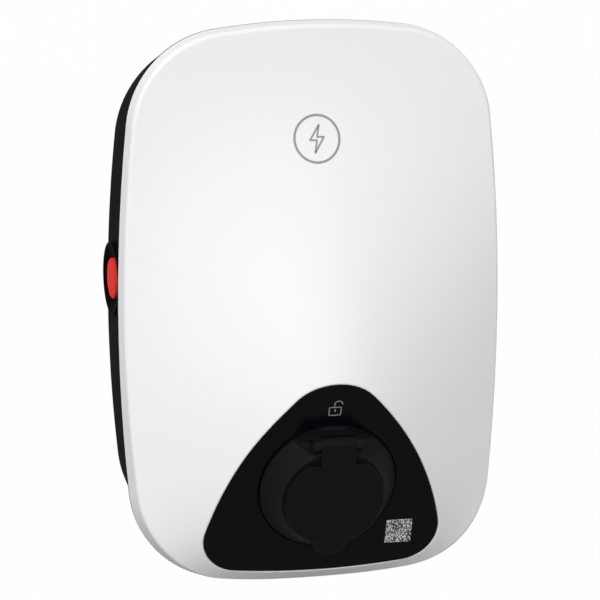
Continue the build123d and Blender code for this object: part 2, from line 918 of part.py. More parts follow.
with BuildPart() as socket_contacts:
    with BuildSketch(panel_face.offset(-carrier_back - sleeve_tail)):
        with Locations(*power_spots):
            Circle(power_sleeve)
        with Locations(*signal_spots):
            Circle(signal_sleeve)
    extrude(amount=sleeve_tail + carrier_back + core_rise - sleeve_tip_depth)
    with BuildSketch(panel_face.offset(-bore_end_depth)):
        with Locations(*power_spots):
            Circle(power_bore)
        with Locations(*signal_spots):
            Circle(signal_bore)
    extrude(amount=bore_end_depth + core_rise, mode=Mode.SUBTRACT)
keep(socket_contacts, "socket_contacts")

# Lid with its knuckle, finger tab and seal. The lug's front is a tangent to the knuckle.
lid_face = capped_disc(lid_radius, lid_chord)
lid_back = cone_height + lid_gap
lid_front = lid_back + lid_thickness
lug_start = lid_chord - lug_overlap
lug_run = pivot_v - lug_start
lug_drop = lid_front - pivot_rise
lug_lean = atan2(lug_drop, lug_run) - asin(knuckle_radius / sqrt(lug_run**2 + lug_drop**2))
lug_touch = (
    pivot_v + knuckle_radius * sin(lug_lean), pivot_rise + knuckle_radius * cos(lug_lean)
)
with BuildPart() as socket_lid:
    with BuildSketch(panel_face.offset(lid_back)):
        add(lid_face)
    extrude(amount=lid_thickness)
    outer_edges = socket_lid.faces().sort_by(socket_axis)[-1].edges()
    fillet(outer_edges, lid_edge)
    with BuildSketch(panel_face.offset(lid_back)):
        with Locations((0, tab_radius - lid_radius - tab_reach)):
            Circle(tab_radius)
    extrude(amount=tab_thickness)
    with BuildSketch(side_plane.offset(-knuckle_half)):
        with BuildLine():
            Polyline(
                (lug_start, lid_back),
                (pivot_v, lid_back),
                lug_touch,
                (lug_start, lid_front),
                close=True,
            )
        make_face()
    extrude(amount=2 * knuckle_half)
    with BuildSketch(side_plane.offset(-knuckle_half)):
        with Locations(pivot):
            Circle(knuckle_radius)
    extrude(amount=2 * knuckle_half)
    with BuildSketch(side_plane.offset(-knuckle_half)):
        with Locations(pivot):
            Circle(pin_radius + pin_slack)
    extrude(amount=2 * knuckle_half, mode=Mode.SUBTRACT)
    with BuildSketch(side_plane.offset(knuckle_half)):
        with Locations(pivot):
            Circle(spring_pocket_radius)
    extrude(amount=-spring_pocket_length, mode=Mode.SUBTRACT)
keep(socket_lid, "socket_lid")

seal_width = seal_outer - seal_inner
seal_outer_face = capped_disc(seal_outer, seal_chord)
seal_inner_face = capped_disc(seal_inner, seal_chord - seal_width)
with BuildPart() as lid_seal:
    with BuildSketch(panel_face.offset(cone_height + seal_slack)):
        add(seal_outer_face)
        add(seal_inner_face, mode=Mode.SUBTRACT)
    extrude(amount=lid_gap - seal_slack)
keep(lid_seal, "lid_seal")

with BuildPart() as lid_pin:
    with BuildSketch(side_plane.offset(-ear_end)):
        with Locations(pivot):
            Circle(pin_radius)
    extrude(amount=2 * ear_end)
    with BuildSketch(side_plane.offset(ear_end)):
        with Locations(pivot):
            Circle(pin_head)
    extrude(amount=pin_head_height)
keep(lid_pin, "lid_pin")

spring_start = side_plane.from_local_coords((pivot_v, pivot_rise, knuckle_half)) - Vector(
    spring_pitch * spring_turns + spring_wire, 0, 0
)
with BuildPart() as lid_spring:
    with BuildLine() as coil:
        Helix(
            pitch=spring_pitch,
            height=spring_pitch * spring_turns,
            radius=spring_radius,
            center=spring_start,
            direction=(1, 0, 0),
        )
    with BuildSketch(Plane(origin=coil.line @ 0, z_dir=coil.line % 0)):
        RegularPolygon(spring_wire, side_count=wire_sides)
    sweep(path=coil.line, is_frenet=True)
keep(lid_spring, "lid_spring")

# Lock drive beside the socket, with its bolt
with BuildPart() as lock_actuator:
    with BuildSketch(left_plane.offset(lock_seat)):
        RectangleRounded(2 * lock_half_width, 2 * lock_half_height, lock_corner)
    extrude(amount=lock_length)
    with BuildSketch(left_plane.offset(lock_seat)):
        Circle(bolt_radius + bolt_slack)
    extrude(amount=lock_length - lock_bore_end, mode=Mode.SUBTRACT)
keep(lock_actuator, "lock_actuator")

with BuildPart() as lock_bolt:
    with BuildSketch(left_plane.offset(recess_radius + bolt_rest_gap)):
        Circle(bolt_radius)
    extrude(amount=bolt_length)
    chamfer(lock_bolt.edges().sort_by(Axis.X)[-1], bolt_tip)
keep(lock_bolt, "lock_bolt")

# Push button: bezel, cap, spring, switch and nut, on the axis of the boss
radial_plane = Plane(origin=button_face.origin, x_dir=(0, 0, 1), z_dir=(0, -1, 0))
button_axis = Axis(button_face.origin, button_face.z_dir)
cap_bore = cap_radius + cap_gap
cap_back = cap_recess + cap_skirt
with BuildPart() as button_bezel:
    with BuildSketch(radial_plane):
        with BuildLine():
            Polyline(
                (cap_bore, -bezel_dish),
                (bezel_radius - bezel_rim, 0),
                (bezel_radius - bezel_edge, 0),
                (bezel_radius, -bezel_edge),
                (bezel_radius, -boss_seat),
                (bezel_tube, -boss_seat),
                (bezel_tube, -bezel_length),
                (guide_radius, -bezel_length),
                (guide_radius, cap_play - cap_back),
                (cap_bore, cap_play - cap_back),
                close=True,
            )
        make_face()
    revolve(axis=button_axis)
keep(button_bezel, "button_bezel")

with BuildPart() as bezel_nut:
    with BuildSketch(button_face.offset(-boss_depth)):
        RegularPolygon(nut_radius, side_count=nut_sides)
        Circle(bezel_tube + nut_slack, mode=Mode.SUBTRACT)
    extrude(amount=-nut_height)
keep(bezel_nut, "bezel_nut")

with BuildPart() as side_button:
    with BuildSketch(button_face.offset(-cap_recess)):
        Circle(cap_radius)
    extrude(amount=-cap_skirt)
    fillet(side_button.edges().sort_by(Axis.X)[0], cap_edge)
    with BuildSketch(button_face.offset(-cap_back)):
        Circle(cap_flange_radius)
    extrude(amount=-cap_flange)
    with BuildSketch(button_face.offset(-cap_back - cap_flange)):
        Circle(stem_radius)
    extrude(amount=-stem_length)
keep(side_button, "side_button")

button_spring_room = bezel_length - cap_back - cap_flange
button_coil = button_spring_room - 2 * (button_spring_wire + button_spring_slack)
button_spring_start = button_face.origin + Vector(
    cap_back + cap_flange + button_spring_wire + button_spring_slack, 0, 0
)
with BuildPart() as button_spring:
    with BuildLine() as push_coil:
        Helix(
            pitch=button_coil / button_spring_turns,
            height=button_coil,
            radius=button_spring_radius,
            center=button_spring_start,
            direction=(1, 0, 0),
        )
    with BuildSketch(Plane(origin=push_coil.line @ 0, z_dir=push_coil.line % 0)):
        RegularPolygon(button_spring_wire, side_count=wire_sides)
    sweep(path=push_coil.line, is_frenet=True)
keep(button_spring, "button_spring")

with BuildPart() as button_switch:
    with BuildSketch(button_face.offset(-bezel_length)):
        RectangleRounded(switch_base_side, switch_base_side, switch_corner)
    extrude(amount=-switch_base)
    with BuildSketch(button_face.offset(-bezel_length - switch_base)):
        Rectangle(switch_side, switch_side)
    extrude(amount=-switch_height)
keep(button_switch, "button_switch")

# Boards and what stands on them
board_top = board_plane + board


def circuit_board(size, place, holes):
    """Circuit board with a screw hole over each post."""
    with BuildPart() as made:
        with BuildSketch(facing(board_plane)):
            with Locations(place):
                Rectangle(*size)
            with Locations(*holes):
                Circle(board_screw_hole, mode=Mode.SUBTRACT)
        extrude(amount=board)
    return made


def block(size, place, base):
    """Rectangular component with chamfered upper edges, standing on a board."""
    with BuildPart() as made:
        with BuildSketch(facing(base)):
            with Locations(place):
                Rectangle(size[0], size[1])
        extrude(amount=size[2])
        chamfer(made.faces().sort_by(Axis.Y)[0].edges(), component_edge)
    return made


def on_board(share, size, place):
    """Place on a board, given as a share of its size from its centre."""
    return (place[0] + share[0] * size[0], place[1] + share[1] * size[1])


relay_at = [on_board(share, power_board_size, power_board_at) for share in relay_shares]
sensor_at = on_board(sensor_share, power_board_size, power_board_at)
supply_at = on_board(supply_share, power_board_size, power_board_at)
radio_at = on_board(radio_share, control_board_size, control_board_at)
power_board = circuit_board(power_board_size, power_board_at, power_posts)
keep(power_board, "power_board")
control_board = circuit_board(control_board_size, control_board_at, control_posts)
keep(control_board, "control_board")
power_supply = block(supply_size, supply_at, board_top)
keep(power_supply, "power_supply")
radio_module = block(radio_size, radio_at, board_top)
keep(radio_module, "radio_module")

with BuildPart() as power_relays:
    with BuildSketch(facing(board_top)):
        with Locations(*relay_at):
            Rectangle(relay_size[0], relay_size[1])
    extrude(amount=relay_size[2])
    tops = power_relays.faces().group_by(Axis.Y)[0]
    chamfer(tops.edges(), component_edge)
keep(power_relays, "power_relays")

with BuildPart() as current_sensor:
    with BuildSketch(facing(board_top)):
        with Locations(sensor_at):
            Circle(sensor_outer)
            Circle(sensor_inner, mode=Mode.SUBTRACT)
    extrude(amount=sensor_height)
    chamfer(current_sensor.faces().sort_by(Axis.Y)[0].edges(), component_edge)
keep(current_sensor, "current_sensor")

with BuildPart() as board_screws:
    with BuildSketch(facing(board_top)):
        with Locations(*posts):
            Circle(small_head)
    extrude(amount=small_head_height)
    with BuildSketch(facing(board_top)):
        with Locations(*posts):
            Circle(small_shank)
    extrude(amount=-(board + pilot_depth - screw_clearance))
keep(board_screws, "board_screws")

# Terminal block with its clamping screws
terminal_base = back_plate + terminal_pad
terminal_spots = [
    Pos(*terminal_at) * spot for spot in GridLocations(terminal_pitch, 0, terminal_count, 1)
]
terminal_foot_z = terminal_at[1] - terminal_depth / 2
terminal_axis = -(terminal_base + terminal_height / 3)
with BuildPart() as terminal_block:
    with BuildSketch(facing(terminal_base)):
        with Locations(terminal_at):
            Rectangle(terminal_length, terminal_depth)
    extrude(amount=terminal_height)
    chamfer(terminal_block.faces().sort_by(Axis.Y)[0].edges(), component_edge)
    with BuildSketch(facing(terminal_base + terminal_height)):
        with Locations(*terminal_spots):
            Circle(terminal_well)
    extrude(amount=-terminal_well_depth, mode=Mode.SUBTRACT)
    with BuildSketch(Plane(origin=(terminal_at[0], terminal_axis, terminal_foot_z), z_dir=(0, 0, 1))):
        with GridLocations(terminal_pitch, 0, terminal_count, 1):
            Circle(terminal_entry)
    extrude(amount=terminal_depth / 2, mode=Mode.SUBTRACT)
keep(terminal_block, "terminal_block")

with BuildPart() as terminal_screws:
    with BuildSketch(facing(terminal_base + terminal_height - terminal_well_depth)):
        with Locations(*terminal_spots):
            Circle(terminal_screw)
    extrude(amount=terminal_screw_height)
keep(terminal_screws, "terminal_screws")

# Status light board on the shell's two posts
light_spots = [(-light_post_x, light_z), (light_post_x, light_z)]
with BuildPart() as status_light_board:
    with BuildSketch(facing(light_plane)):
        with Locations((0, light_z)):
            Rectangle(*light_size)
        with Locations(*light_spots):
            Circle(board_screw_hole, mode=Mode.SUBTRACT)
    extrude(amount=-board)
keep(status_light_board, "status_light_board")

with BuildPart() as light_screws:
    with BuildSketch(facing(light_plane - board)):
        with Locations(*light_spots):
            Circle(small_head)
    extrude(amount=-small_head_height)
    with BuildSketch(facing(light_plane - board)):
        with Locations(*light_spots):
            Circle(small_shank)
    extrude(amount=board + light_gap - screw_clearance)
keep(light_screws, "light_screws")

# Supply entry: a gland with its seal and lock nut, open for the cable
collar_length = entry_top_z - entry_end_z
gland_spot = entry_spots[0]
gland_length = collar_length + gland_nut_height + gland_lip
with BuildPart() as supply_gland:
    with BuildSketch(entry_plane):
        with Locations(gland_spot):
            RegularPolygon(gland_flange_radius, side_count=nut_sides)
    extrude(amount=-gland_flange)
    with BuildSketch(entry_plane):
        with Locations(gland_spot):
            Circle(gland_radius)
    extrude(amount=gland_length)
    with BuildSketch(entry_plane.offset(-gland_flange)):
        with Locations(gland_spot):
            Circle(gland_bore)
    extrude(amount=gland_flange + gland_length, mode=Mode.SUBTRACT)
keep(supply_gland, "supply_gland")

with BuildPart() as gland_seal:
    with BuildSketch(entry_plane.offset(-gland_flange)):
        with Locations(gland_spot):
            Circle(gland_bore - seal_fit)
            Circle(gland_seal_bore, mode=Mode.SUBTRACT)
    extrude(amount=gland_seal_length)
keep(gland_seal, "gland_seal")

with BuildPart() as gland_nut:
    with BuildSketch(entry_plane.offset(collar_length)):
        with Locations(gland_spot):
            RegularPolygon(gland_nut_radius, side_count=nut_sides)
            Circle(gland_radius + nut_slack, mode=Mode.SUBTRACT)
    extrude(amount=gland_nut_height)
keep(gland_nut, "gland_nut")

with BuildPart() as data_grommet:
    with BuildSketch(entry_plane):
        with Locations(entry_spots[1]):
            Circle(grommet_flange_radius)
    extrude(amount=-grommet_flange)
    with BuildSketch(entry_plane):
        with Locations(entry_spots[1]):
            Circle(grommet_radius)
    extrude(amount=collar_length)
    with BuildSketch(entry_plane.offset(grommet_web - grommet_flange)):
        with Locations(entry_spots[1]):
            Circle(grommet_radius - grommet_web)
    extrude(amount=grommet_flange + collar_length, mode=Mode.SUBTRACT)
keep(data_grommet, "data_grommet")

with BuildPart() as wall_seals:
    with BuildSketch(facing(back_plate + wall_boss_height)):
        with Locations(*wall_screws):
            Circle(wall_boss_radius)
            Circle(wall_screw_radius + wall_seal_slack, mode=Mode.SUBTRACT)
    extrude(amount=wall_seal_height)
keep(wall_seals, "wall_seals")

# Power leads, one from each power contact to the foot of the power board
lead_order = sorted(power_spots)
lead_starts = [
    panel_face.from_local_coords((x, v, -carrier_back - sleeve_tail)) for x, v in lead_order
]
lead_middle = (len(lead_order) - 1) / 2
with BuildPart() as power_leads:
    for order, start in enumerate(lead_starts):
        foot = Vector((order - lead_middle) * lead_pitch, -board_top, lead_end_z)
        with BuildLine() as route:
            FilletPolyline(
                start,
                start - panel_normal * lead_straight,
                foot - Vector(0, lead_reach, 0),
                foot,
                radius=lead_bend,
            )
        with BuildSketch(Plane(origin=start, z_dir=-panel_normal)):
            Circle(lead_radius)
        sweep(path=route.line)
keep(power_leads, "power_leads")

os.makedirs("parts", exist_ok=True)
for piece in parts:
    export_step(piece, f"parts/{piece.label}.step")
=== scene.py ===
# %% [markdown]
# # A wall charger in its studio
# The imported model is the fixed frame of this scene: its shapes, its bodies and its joints come
# from the CAD. Everything here is in metres, with the wall at Y = 0, the front towards -Y and Z
# up.

# %% Load the frame
import json
import math

import bmesh
import bpy
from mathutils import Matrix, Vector
from mathutils.bvhtree import BVHTree


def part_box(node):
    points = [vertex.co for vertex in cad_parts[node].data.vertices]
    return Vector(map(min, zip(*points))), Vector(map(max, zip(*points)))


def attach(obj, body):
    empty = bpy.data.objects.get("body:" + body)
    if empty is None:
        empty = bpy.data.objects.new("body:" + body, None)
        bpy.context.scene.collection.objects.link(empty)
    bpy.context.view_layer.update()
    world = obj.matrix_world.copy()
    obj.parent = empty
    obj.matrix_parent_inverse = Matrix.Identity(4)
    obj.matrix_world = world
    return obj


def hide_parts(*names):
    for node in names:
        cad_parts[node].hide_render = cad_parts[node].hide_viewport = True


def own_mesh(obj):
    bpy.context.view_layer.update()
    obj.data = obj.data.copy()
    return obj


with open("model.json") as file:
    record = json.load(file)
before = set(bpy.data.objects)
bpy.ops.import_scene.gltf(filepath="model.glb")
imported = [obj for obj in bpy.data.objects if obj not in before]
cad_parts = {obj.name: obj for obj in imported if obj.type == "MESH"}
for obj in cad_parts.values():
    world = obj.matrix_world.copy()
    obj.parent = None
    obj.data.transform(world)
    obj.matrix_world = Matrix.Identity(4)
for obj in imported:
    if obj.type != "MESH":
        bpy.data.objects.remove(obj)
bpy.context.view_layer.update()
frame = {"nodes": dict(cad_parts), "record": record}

nodes = frame["nodes"]

# %% [markdown]
# ## Camera
# A long lens from two and a half metres keeps the verticals parallel, as a catalogue picture
# does. The camera looks from a little to the left and from above. It could be aimed with a
# constraint, but a point and two angles are easier to match to a photograph one by one.

# %% Camera
camera_place = Vector((-0.6425, -2.4424, 0.4629))
camera_azimuth = math.radians(15.0)
camera_elevation = math.radians(10.63)
camera_lens = 207.75
camera_sensor = 36
camera_near = 0.1
camera_far = 100

backward = Vector((
    -math.sin(camera_azimuth) * math.cos(camera_elevation),
    -math.cos(camera_azimuth) * math.cos(camera_elevation),
    math.sin(camera_elevation),
))
camera_data = bpy.data.cameras.new("studio_camera")
camera_data.lens = camera_lens
camera_data.sensor_width = camera_sensor
camera_data.clip_start = camera_near
camera_data.clip_end = camera_far
camera = bpy.data.objects.new("studio_camera", camera_data)
camera.location = camera_place
camera.rotation_mode = "QUATERNION"
camera.rotation_quaternion = backward.to_track_quat("Z", "Y")
bpy.context.scene.collection.objects.link(camera)
bpy.context.scene.camera = camera
bpy.context.scene.view_settings.view_transform = "Standard"
print("camera distance:", round(camera_place.length, 3), "m")

# %% [markdown]
# ## Light and background
# The real thing hangs at chest height, so the floor lies well below it and there is no wall to
# hide its back. The world gives even light of half strength, as the walls of a white room would.
# The pale background is only a colour that the camera and reflections see. It adds no diffuse
# light, so the white shell keeps its shading against it.

# %% Node helpers
def node(tree, kind, **inputs):
    """Adds a shader node and sets its inputs by name."""
    made = tree.nodes.new(kind)
    for name, value in inputs.items():
        made.inputs[name.replace("_", " ")].default_value = value
    return made


def seen_by_eye(tree):
    """A value of one for rays that show the surroundings: camera, glossy and transmission."""
    path = tree.nodes.new("ShaderNodeLightPath")
    first = tree.nodes.new("ShaderNodeMath")
    first.operation = "MAXIMUM"
    second = tree.nodes.new("ShaderNodeMath")
    second.operation = "MAXIMUM"
    tree.links.new(path.outputs["Is Camera Ray"], first.inputs[0])
    tree.links.new(path.outputs["Is Glossy Ray"], first.inputs[1])
    tree.links.new(first.outputs[0], second.inputs[0])
    tree.links.new(path.outputs["Is Transmission Ray"], second.inputs[1])
    return second.outputs[0]


# %% World
ambient_level = 0.5
background_level = 0.995

world = bpy.data.worlds.new("studio_world")
world.use_nodes = True
bpy.context.scene.world = world
sky = world.node_tree
sky.nodes.clear()
level = sky.nodes.new("ShaderNodeMix")
level.data_type = "FLOAT"
level.inputs["A"].default_value = ambient_level
level.inputs["B"].default_value = background_level
backdrop = node(sky, "ShaderNodeBackground", Color=(1, 1, 1, 1))
sky_out = sky.nodes.new("ShaderNodeOutputWorld")
sky.links.new(seen_by_eye(sky), level.inputs["Factor"])
sky.links.new(level.outputs["Result"], backdrop.inputs["Strength"])
sky.links.new(backdrop.outputs[0], sky_out.inputs["Surface"])
print("world:", ambient_level, "of white as light,", background_level, "as seen")

# %% [markdown]
# A satin white dome shows its curve only where the light falls off across it. Point lamps would
# leave hard spots, so large square area lamps are used. The strongest stands near the camera and
# the next on the upper left. A small one on the left lights the red button, and one behind shows
# the ribs of the back.

# %% Lamps
def soft_box(name, place, size, power):
    """Square area lamp that faces the object's centre."""
    data = bpy.data.lights.new(name, "AREA")
    data.shape = "SQUARE"
    data.size = size
    data.energy = power
    lamp = bpy.data.objects.new(name, data)
    lamp.location = place
    lamp.rotation_mode = "QUATERNION"
    lamp.rotation_quaternion = Vector(place).to_track_quat("Z", "Y")
    bpy.context.scene.collection.objects.link(lamp)
    print(name, "at", place, "with", power, "W")
    return lamp


front_place = (-0.55, -3.1, 0.556)
front_size = 1.65
front_power = 40.5
upper_place = (-1.25, -1.4, 1.68)
upper_size = 1.3
upper_power = 16
left_place = (-2.45, 0.0, 0.5)
left_size = 1.0
left_power = 6.5
rear_place = (2.1, 1.5, 1.0)
rear_size = 1.3
rear_power = 16

soft_box("front_lamp", front_place, front_size, front_power)
soft_box("upper_lamp", upper_place, upper_size, upper_power)
soft_box("left_lamp", left_place, left_size, left_power)
soft_box("rear_lamp", rear_place, rear_size, rear_power)

# %% [markdown]
# The floor is one large quad. Its matte paint takes the shadow, and a share of plain white on top
# makes it as pale as the background for the camera. A backdrop sheet would do the same, but it
# would stand in the views from behind.

# %% Floor
hanging_height = 1.3
floor_half = 12
floor_lift = 0.993
floor_colour = (0.15, 0.15, 0.15, 1)
floor_roughness = 0.9

floor_mesh = bpy.data.meshes.new("studio_floor")
floor_mesh.from_pydata(
    [
        (-floor_half, -floor_half, -hanging_height),
        (floor_half, -floor_half, -hanging_height),
        (floor_half, floor_half, -hanging_height),
        (-floor_half, floor_half, -hanging_height),
    ],
    [],
    [(0, 1, 2, 3)],
)
floor = bpy.data.objects.new("studio_floor", floor_mesh)
bpy.context.scene.collection.objects.link(floor)

floor_paint = bpy.data.materials.new("pale_floor")
floor_paint.use_nodes = True
paint = floor_paint.node_tree
paint.nodes.clear()
matte = node(
    paint,
    "ShaderNodeBsdfPrincipled",
    Base_Color=floor_colour,
    Roughness=floor_roughness,
)
glow = node(paint, "ShaderNodeEmission", Color=(1, 1, 1, 1), Strength=1)
share = paint.nodes.new("ShaderNodeMath")
share.operation = "MULTIPLY"
share.inputs[1].default_value = floor_lift
blend = paint.nodes.new("ShaderNodeMixShader")
paint_out = paint.nodes.new("ShaderNodeOutputMaterial")
paint.links.new(seen_by_eye(paint), share.inputs[0])
paint.links.new(share.outputs[0], blend.inputs[0])
paint.links.new(matte.outputs[0], blend.inputs[1])
paint.links.new(glow.outputs[0], blend.inputs[2])
paint.links.new(blend.outputs[0], paint_out.inputs["Surface"])
floor_mesh.materials.append(floor_paint)
print("floor", hanging_height, "m below the origin")

# %% [markdown]
# ## Shared surface effects
# Moulded plastic is never perfectly even. Its tool was etched or polished, and it picks up a
# little dust and haze. These effects return in many finishes, so each is a node group with named
# inputs, built once. A group gives only masks, values and normals. The shader itself stays in
# each material.

# %% Group helpers
def new_group(name, inputs, outputs):
    """Empty shader group with the named sockets, and its input and output nodes."""
    group = bpy.data.node_groups.new(name, "ShaderNodeTree")
    for label, kind, value in inputs:
        socket = group.interface.new_socket(label, in_out="INPUT", socket_type=kind)
        socket.default_value = value
    for label, kind in outputs:
        group.interface.new_socket(label, in_out="OUTPUT", socket_type=kind)
    start = group.nodes.new("NodeGroupInput")
    end = group.nodes.new("NodeGroupOutput")
    return group, start, end


# %% [markdown]
# The etched grain of a moulding tool is a field of bumps a fraction of a millimetre wide. Real
# geometry for it would need millions of faces, so a noise at that scale feeds a bump node
# instead.

# %% Moulded grain
grain_detail = 3
grain_roughness = 0.6

grain_group, grain_in, grain_out = new_group(
    "moulded_grain",
    [("Cells per metre", "NodeSocketFloat", 1500), ("Depth", "NodeSocketFloat", 0.2)],
    [("Height", "NodeSocketFloat"), ("Mask", "NodeSocketFloat")],
)
grain_place = grain_group.nodes.new("ShaderNodeTexCoord")
grain_noise = node(
    grain_group,
    "ShaderNodeTexNoise",
    Detail=grain_detail,
    Roughness=grain_roughness,
)
grain_height = grain_group.nodes.new("ShaderNodeMath")
grain_height.operation = "MULTIPLY"
grain_group.links.new(grain_place.outputs["Object"], grain_noise.inputs["Vector"])
grain_group.links.new(grain_in.outputs["Cells per metre"], grain_noise.inputs["Scale"])
grain_group.links.new(grain_noise.outputs["Fac"], grain_height.inputs[0])
grain_group.links.new(grain_in.outputs["Depth"], grain_height.inputs[1])
grain_group.links.new(grain_height.outputs[0], grain_out.inputs["Height"])
grain_group.links.new(grain_noise.outputs["Fac"], grain_out.inputs["Mask"])
print("group:", grain_group.name)

# %% [markdown]
# Wiping and handling leave a faint unevenness of shine over a few centimetres. A noise at that
# scale moves the roughness between two limits, which shows only where a lamp is reflected, as on
# the real shell.

# %% Handling haze
haze_detail = 5
haze_roughness = 0.65
haze_distortion = 0.4
haze_from, haze_to = 0.3, 0.7

haze_group, haze_in, haze_out = new_group(
    "handling_haze",
    [
        ("Low", "NodeSocketFloat", 0.3),
        ("High", "NodeSocketFloat", 0.4),
        ("Patch scale", "NodeSocketFloat", 14),
    ],
    [("Roughness", "NodeSocketFloat"), ("Mask", "NodeSocketFloat")],
)
haze_place = haze_group.nodes.new("ShaderNodeTexCoord")
haze_noise = node(
    haze_group,
    "ShaderNodeTexNoise",
    Detail=haze_detail,
    Roughness=haze_roughness,
    Distortion=haze_distortion,
)
haze_range = haze_group.nodes.new("ShaderNodeMapRange")
haze_range.inputs["From Min"].default_value = haze_from
haze_range.inputs["From Max"].default_value = haze_to
haze_group.links.new(haze_place.outputs["Object"], haze_noise.inputs["Vector"])
haze_group.links.new(haze_in.outputs["Patch scale"], haze_noise.inputs["Scale"])
haze_group.links.new(haze_noise.outputs["Fac"], haze_range.inputs["Value"])
haze_group.links.new(haze_in.outputs["Low"], haze_range.inputs["To Min"])
haze_group.links.new(haze_in.outputs["High"], haze_range.inputs["To Max"])
haze_group.links.new(haze_range.outputs["Result"], haze_out.inputs["Roughness"])
haze_group.links.new(haze_noise.outputs["Fac"], haze_out.inputs["Mask"])
print("group:", haze_group.name)

# %% [markdown]
# Corners that hands and tools touch turn a little paler. They could be painted by hand, but
# Pointiness finds the corners of a dense mesh by itself, and a noise breaks the worn line up.

# %% Edge wear
wear_from, wear_to = 0.53, 0.62
wear_cells = 220
wear_detail = 4

wear_group, wear_in, wear_out = new_group(
    "edge_wear",
    [
        ("Base", "NodeSocketColor", (0.02, 0.02, 0.02, 1)),
        ("Worn", "NodeSocketColor", (0.05, 0.05, 0.05, 1)),
        ("Amount", "NodeSocketFloat", 0.3),
    ],
    [("Color", "NodeSocketColor"), ("Mask", "NodeSocketFloat")],
)
wear_geometry = wear_group.nodes.new("ShaderNodeNewGeometry")
wear_range = wear_group.nodes.new("ShaderNodeMapRange")
wear_range.inputs["From Min"].default_value = wear_from
wear_range.inputs["From Max"].default_value = wear_to
wear_place = wear_group.nodes.new("ShaderNodeTexCoord")
wear_noise = node(wear_group, "ShaderNodeTexNoise", Scale=wear_cells, Detail=wear_detail)
wear_broken = wear_group.nodes.new("ShaderNodeMath")
wear_broken.operation = "MULTIPLY"
wear_amount = wear_group.nodes.new("ShaderNodeMath")
wear_amount.operation = "MULTIPLY"
wear_mix = wear_group.nodes.new("ShaderNodeMix")
wear_mix.data_type = "RGBA"
wear_group.links.new(wear_place.outputs["Object"], wear_noise.inputs["Vector"])
wear_group.links.new(wear_geometry.outputs["Pointiness"], wear_range.inputs["Value"])
wear_group.links.new(wear_range.outputs["Result"], wear_broken.inputs[0])
wear_group.links.new(wear_noise.outputs["Fac"], wear_broken.inputs[1])
wear_group.links.new(wear_broken.outputs[0], wear_amount.inputs[0])
wear_group.links.new(wear_in.outputs["Amount"], wear_amount.inputs[1])
wear_group.links.new(wear_amount.outputs[0], wear_mix.inputs["Factor"])
wear_group.links.new(wear_in.outputs["Base"], wear_mix.inputs["A"])
wear_group.links.new(wear_in.outputs["Worn"], wear_mix.inputs["B"])
wear_group.links.new(wear_mix.outputs["Result"], wear_out.inputs["Color"])
wear_group.links.new(wear_amount.outputs[0], wear_out.inputs["Mask"])
print("group:", wear_group.name)

# %% [markdown]
# ## Finishes
# Most finishes follow one plan: a Principled shader whose colour comes from the wear group, whose
# roughness comes from the haze group and whose normal comes from the grain group through a bump
# node. Values that are the same all over, such as metal or specular level, are set on the
# shader's own sockets.

# %% Finish helpers
finishes = {}


def new_material(name):
    """Empty material with a Principled shader and an output, kept under its name."""
    material = bpy.data.materials.new(name)
    finishes[name] = material
    material.use_nodes = True
    tree = material.node_tree
    tree.nodes.clear()
    shader = tree.nodes.new("ShaderNodeBsdfPrincipled")
    output = tree.nodes.new("ShaderNodeOutputMaterial")
    tree.links.new(shader.outputs[0], output.inputs["Surface"])
    return material, tree, shader


def placed_group(tree, group, **values):
    """Puts a shared group into a material and sets its inputs."""
    made = tree.nodes.new("ShaderNodeGroup")
    made.node_tree = group
    for name, value in values.items():
        made.inputs[name.replace("_", " ")].default_value = value
    return made


def moulded(name, colour, worn, roughness, grain, specular=0.5, wear=0.3, metallic=0.0):
    """Material of a moulded or pressed piece. Grain is cells per metre and depth in metres."""
    material, tree, shader = new_material(name)
    wear_part = placed_group(tree, wear_group, Base=(*colour, 1), Worn=(*worn, 1), Amount=wear)
    haze_part = placed_group(tree, haze_group, Low=roughness[0], High=roughness[1])
    grain_part = placed_group(tree, grain_group, Cells_per_metre=grain[0], Depth=1)
    bump = tree.nodes.new("ShaderNodeBump")
    bump.inputs["Distance"].default_value = grain[1]
    shader.inputs["Specular IOR Level"].default_value = specular
    shader.inputs["Metallic"].default_value = metallic
    tree.links.new(wear_part.outputs["Color"], shader.inputs["Base Color"])
    tree.links.new(haze_part.outputs["Roughness"], shader.inputs["Roughness"])
    tree.links.new(grain_part.outputs["Height"], bump.inputs["Height"])
    tree.links.new(bump.outputs["Normal"], shader.inputs["Normal"])
    print("finish:", name)
    return material


# %% [markdown]
# The white shell is satin: a fine tool polish that blurs the lamp into a broad soft glow. Its
# white has a trace of blue. The push button is a smooth red cap. Both have little specular,
# because the lamps stand close to the camera.

# %% Shell and button
moulded(
    "shell_white", colour=(0.93, 0.928, 0.942), worn=(0.95, 0.95, 0.955), roughness=(0.48, 0.56),
    grain=(2200, 0.000006), specular=0.08, wear=0.2,
)
moulded(
    "button_red", colour=(0.95, 0.034, 0.024), worn=(0.9, 0.08, 0.06), roughness=(0.4, 0.48),
    grain=(1500, 0.000008), specular=0.012,
)
